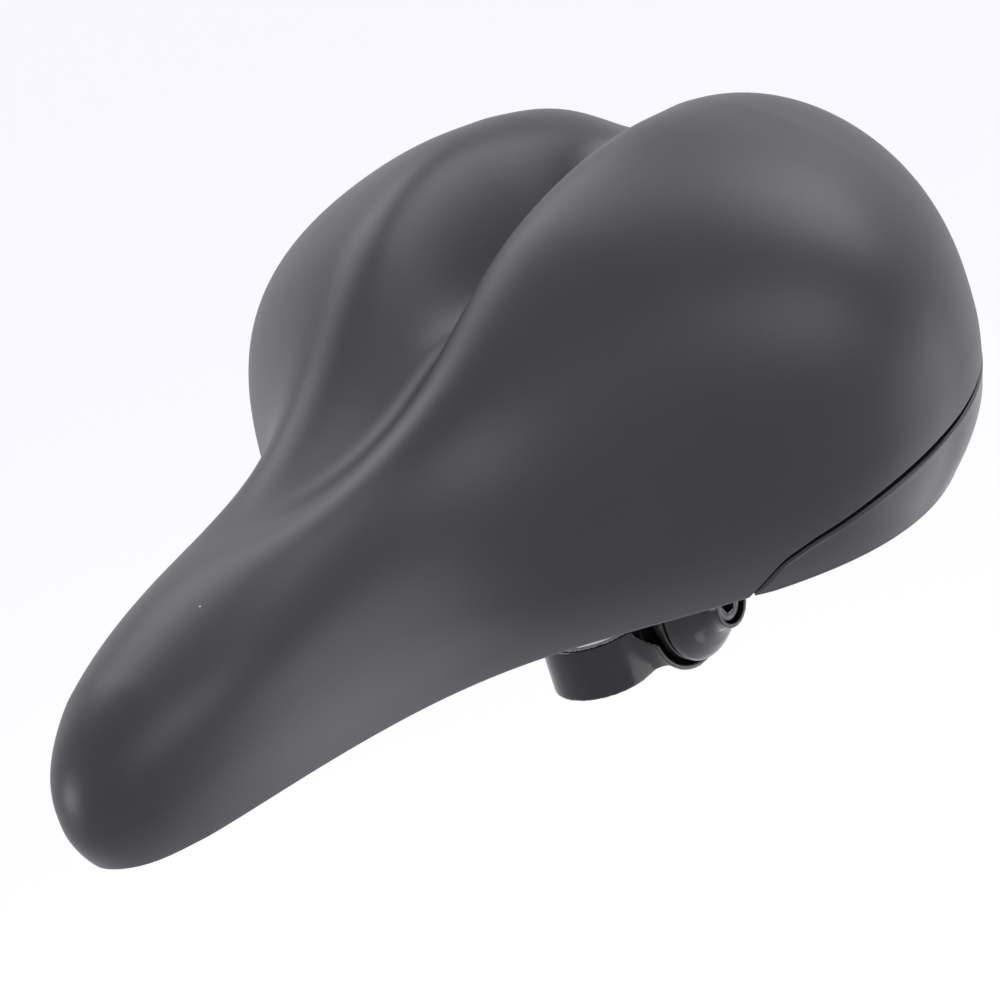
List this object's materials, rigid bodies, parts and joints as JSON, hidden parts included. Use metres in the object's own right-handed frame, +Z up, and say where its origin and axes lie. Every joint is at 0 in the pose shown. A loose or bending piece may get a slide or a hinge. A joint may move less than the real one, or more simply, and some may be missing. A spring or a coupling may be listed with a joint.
{
  "type": "bicycle saddle",
  "caption": "Wide padded bicycle saddle with a deep centre groove, a rear bumper, twin rails and a seat-post clamp whose saddle tilts and slides.",
  "frame": {"origin": "on the seat-post axis, at the lower end face of the clamp's band", "axes": "+X towards the nose, +Y to the rider's left, +Z up along the seat post"},
  "size_m": [0.2855, 0.2022, 0.1361],
  "materials": {
    "cover_skin": "matte",
    "foam": "matte",
    "shell_plastic": "matte",
    "bumper_plastic": "satin",
    "socket_plastic": "satin",
    "rail_steel": "satin",
    "clamp_paint": "gloss",
    "plate_paint": "satin",
    "zinc": "satin",
    "bolt_zinc": "gloss"
  },
  "bodies": {
    "post_band": {"post_band": "clamp_paint"},
    "cradle": {"ratchet_plate_left": "plate_paint", "ratchet_plate_right": "plate_paint", "clamp_plate_left": "clamp_paint", "clamp_plate_right": "clamp_paint", "washer_left": "zinc", "washer_right": "zinc", "clamp_nut": "zinc"},
    "saddle": {"cover": "cover_skin", "foam_pad": "foam", "base_shell": "shell_plastic", "rear_bumper": "bumper_plastic", "rail_left": "rail_steel", "rail_right": "rail_steel", "rail_socket_left": "socket_plastic", "rail_socket_right": "socket_plastic", "nose_socket": "socket_plastic", "bumper_screw_left": "zinc", "bumper_screw_right": "zinc", "bumper_screw_rear": "zinc", "rail_screw_left_inner": "zinc", "rail_screw_left_outer": "zinc", "rail_screw_right_inner": "zinc", "rail_screw_right_outer": "zinc", "nose_screw_front": "zinc", "nose_screw_rear": "zinc"},
    "clamp_bolt": {"clamp_bolt": "bolt_zinc"}
  },
  "joints": [
    {"name": "tilt", "type": "hinge", "parent": "post_band", "child": "cradle", "pos_m": [-0.018, 0, 0.0117], "axis": [0, 1, 0], "range_deg": [-15, 15]},
    {"name": "fore_aft", "type": "slide", "parent": "cradle", "child": "saddle", "axis": [1, 0, 0], "range_m": [-0.01, 0.022]},
    {"name": "bolt_turn", "type": "hinge", "parent": "cradle", "child": "clamp_bolt", "pos_m": [-0.018, 0, 0.0117], "axis": [0, 1, 0], "continuous": true}
  ]
}
